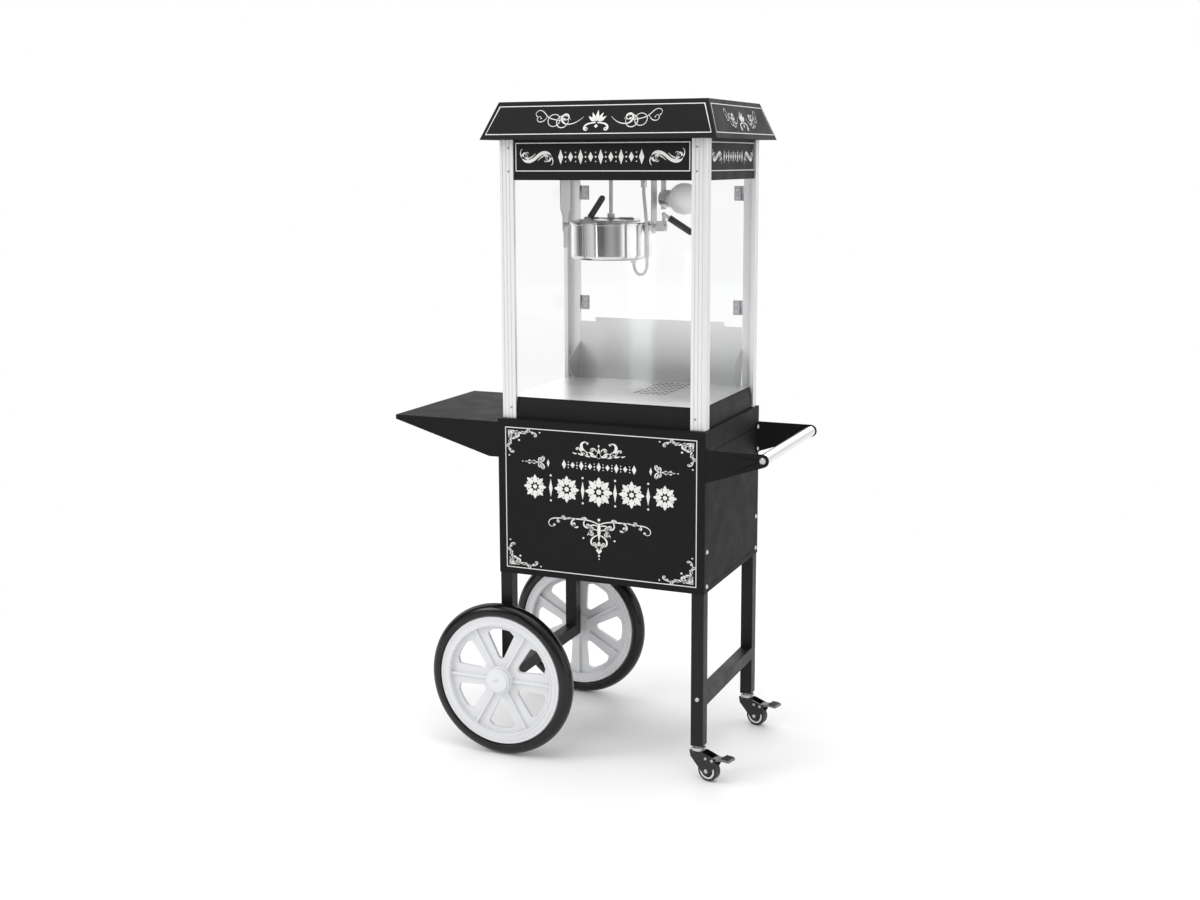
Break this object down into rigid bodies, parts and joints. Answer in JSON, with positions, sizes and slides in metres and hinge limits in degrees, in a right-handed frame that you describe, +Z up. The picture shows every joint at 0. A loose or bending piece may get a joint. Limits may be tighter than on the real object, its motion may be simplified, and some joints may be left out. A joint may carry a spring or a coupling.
{
  "type": "popcorn maker",
  "caption": "Retro popcorn machine with a glazed chamber and tilting kettle, standing on a cabinet cart with large spoked wheels, braked casters, side shelf and push handle.",
  "frame": {"origin": "on the floor, under the middle of the whole object's box", "axes": "+X to the viewer's right along the decorated front, towards the push handle; +Y to the rear; +Z up"},
  "size_m": [0.948, 0.524, 1.557],
  "materials": {
    "cart_black": "satin black powder coat",
    "leg_black": "satin black powder coat on square tube",
    "machine_black": "satin black powder coat with printed light lines",
    "axle_steel": "turned steel",
    "bar_chrome": "bright chrome",
    "bolt_zinc": "zinc plated",
    "rim_plastic": "light grey moulded plastic",
    "tyre_rubber": "solid black rubber",
    "caster_black": "black moulded nylon",
    "caster_tread": "black caster tread",
    "stainless": "brushed stainless steel",
    "post_aluminium": "bright satin anodised",
    "acrylic": "clear acrylic",
    "clip_metal": "satin nickel",
    "switch_black": "black moulded plastic",
    "rocker_red": "red translucent rocker",
    "kettle_polished": "mirror polished stainless steel",
    "grip_black": "black phenolic grip",
    "motor_grey": "grey cast housing",
    "cable_braid": "silver grey braided sleeve",
    "gland_metal": "nickel plated gland",
    "lamp_glass": "frosted glass"
  },
  "bodies": {
    "frame": {"cart_front_panel": "cart_black", "cart_side_panels": "cart_black", "cart_top": "cart_black", "cart_floor": "cart_black", "side_shelf": "cart_black", "handle_arms": "cart_black", "left_leg_frame": "leg_black", "right_leg_frame": "leg_black", "base_housing": "machine_black", "fascia_panels": "machine_black", "control_panel": "machine_black", "roof": "machine_black", "wheel_axle": "axle_steel", "caster_stems": "axle_steel", "handle_bar": "bar_chrome", "cart_bolts": "bolt_zinc", "hinge_leaves": "bolt_zinc", "deck": "stainless", "back_apron": "stainless", "ceiling_plate": "stainless", "kettle_hangers": "stainless", "corner_posts": "post_aluminium", "front_window": "acrylic", "side_windows": "acrylic", "lamp_bracket": "clip_metal", "panel_fittings": "switch_black", "drive_motor": "motor_grey", "cable_gland": "gland_metal", "lamp_bulb": "lamp_glass"},
    "front_wheel": {"rim_front": "rim_plastic", "tyre_front": "tyre_rubber", "hub_cap_front": "rim_plastic"},
    "rear_wheel": {"rim_rear": "rim_plastic", "tyre_rear": "tyre_rubber", "hub_cap_rear": "rim_plastic"},
    "front_caster": {"fork_front": "caster_black"},
    "front_caster_roller": {"caster_wheel_front": "caster_tread"},
    "front_brake": {"brake_front": "caster_black"},
    "rear_caster": {"fork_rear": "caster_black"},
    "rear_caster_roller": {"caster_wheel_rear": "caster_tread"},
    "rear_brake": {"brake_rear": "caster_black"},
    "cabinet_door": {"cart_door": "cart_black"},
    "drawer": {"crumb_drawer": "stainless"},
    "left_door": {"door_pane_left": "acrylic", "door_clips_left": "clip_metal"},
    "right_door": {"door_pane_right": "acrylic", "door_clips_right": "clip_metal"},
    "motor_rocker": {"rocker_motor": "rocker_red"},
    "heat_rocker": {"rocker_heat": "rocker_red"},
    "light_rocker": {"rocker_light": "rocker_red"},
    "kettle": {"kettle_pot": "kettle_polished", "kettle_base": "kettle_polished", "lid_fixed": "kettle_polished", "tilt_handle": "kettle_polished", "tilt_grip": "grip_black", "kettle_cable": "cable_braid"},
    "lid": {"lid_flap": "kettle_polished", "lid_grip": "grip_black"},
    "stirrer": {"stirrer": "axle_steel"},
    "drive": {"drive_shaft": "axle_steel"}
  },
  "joints": [
    {"name": "front_wheel_spin", "type": "hinge", "parent": "frame", "child": "front_wheel", "pos_m": [-0.1775, -0.232, 0.187], "axis": [0, 1, 0], "continuous": true},
    {"name": "rear_wheel_spin", "type": "hinge", "parent": "frame", "child": "rear_wheel", "pos_m": [-0.1775, 0.232, 0.187], "axis": [0, 1, 0], "continuous": true},
    {"name": "front_caster_swivel", "type": "hinge", "parent": "frame", "child": "front_caster", "pos_m": [0.3095, -0.1875, 0.06], "axis": [0, 0, 1], "continuous": true},
    {"name": "rear_caster_swivel", "type": "hinge", "parent": "frame", "child": "rear_caster", "pos_m": [0.3095, 0.1875, 0.06], "axis": [0, 0, 1], "continuous": true},
    {"name": "front_caster_spin", "type": "hinge", "parent": "front_caster", "child": "front_caster_roller", "pos_m": [0.33848, -0.19526, 0.025], "axis": [0.2588, 0.9659, 0], "continuous": true},
    {"name": "rear_caster_spin", "type": "hinge", "parent": "rear_caster", "child": "rear_caster_roller", "pos_m": [0.33848, 0.17974, 0.025], "axis": [0.2588, 0.9659, 0], "continuous": true},
    {"name": "front_brake_press", "type": "hinge", "parent": "front_caster", "child": "front_brake", "pos_m": [0.35393, -0.19941, 0.054], "axis": [0.2588, 0.9659, 0], "range_deg": [0, 12]},
    {"name": "rear_brake_press", "type": "hinge", "parent": "rear_caster", "child": "rear_brake", "pos_m": [0.35393, 0.17559, 0.054], "axis": [0.2588, 0.9659, 0], "range_deg": [0, 12]},
    {"name": "cabinet_door_swing", "type": "hinge", "parent": "frame", "child": "cabinet_door", "pos_m": [-0.1665, 0.2072, 0.63], "axis": [0, 0, 1], "range_deg": [0, 110]},
    {"name": "drawer_slide", "type": "slide", "parent": "frame", "child": "drawer", "axis": [0, 1, 0], "range_m": [0, 0.2]},
    {"name": "left_door_swing", "type": "hinge", "parent": "frame", "child": "left_door", "pos_m": [-0.1485, 0.1965, 1.2], "axis": [0, 0, 1], "range_deg": [0, 110]},
    {"name": "right_door_swing", "type": "hinge", "parent": "frame", "child": "right_door", "pos_m": [0.2805, 0.1965, 1.2], "axis": [0, 0, -1], "range_deg": [0, 110]},
    {"name": "motor_rocker_tip", "type": "hinge", "parent": "frame", "child": "motor_rocker", "pos_m": [-0.004, 0.19, 1.429], "axis": [1, 0, 0], "range_deg": [0, 15]},
    {"name": "heat_rocker_tip", "type": "hinge", "parent": "frame", "child": "heat_rocker", "pos_m": [0.031, 0.19, 1.429], "axis": [1, 0, 0], "range_deg": [0, 15]},
    {"name": "light_rocker_tip", "type": "hinge", "parent": "frame", "child": "light_rocker", "pos_m": [0.066, 0.19, 1.429], "axis": [1, 0, 0], "range_deg": [0, 15]},
    {"name": "kettle_tilt", "type": "hinge", "parent": "frame", "child": "kettle", "pos_m": [0.013, 0, 1.27], "axis": [1, 0, 0], "range_deg": [0, 70], "deforming": ["kettle_cable"]},
    {"name": "lid_open", "type": "hinge", "parent": "kettle", "child": "lid", "pos_m": [0.013, -0.014, 1.2876], "axis": [-1, 0, 0], "range_deg": [0, 85]},
    {"name": "drive_spin", "type": "hinge", "parent": "frame", "child": "drive", "pos_m": [0.013, 0, 1.35], "axis": [0, 0, 1], "continuous": true},
    {"name": "stirrer_spin", "type": "hinge", "parent": "kettle", "child": "stirrer", "pos_m": [0.013, 0, 1.25], "axis": [0, 0, 1], "continuous": true}
  ],
  "couplings": [
    {"joint": "drive_spin", "follows": "stirrer_spin", "ratio": 1}
  ]
}
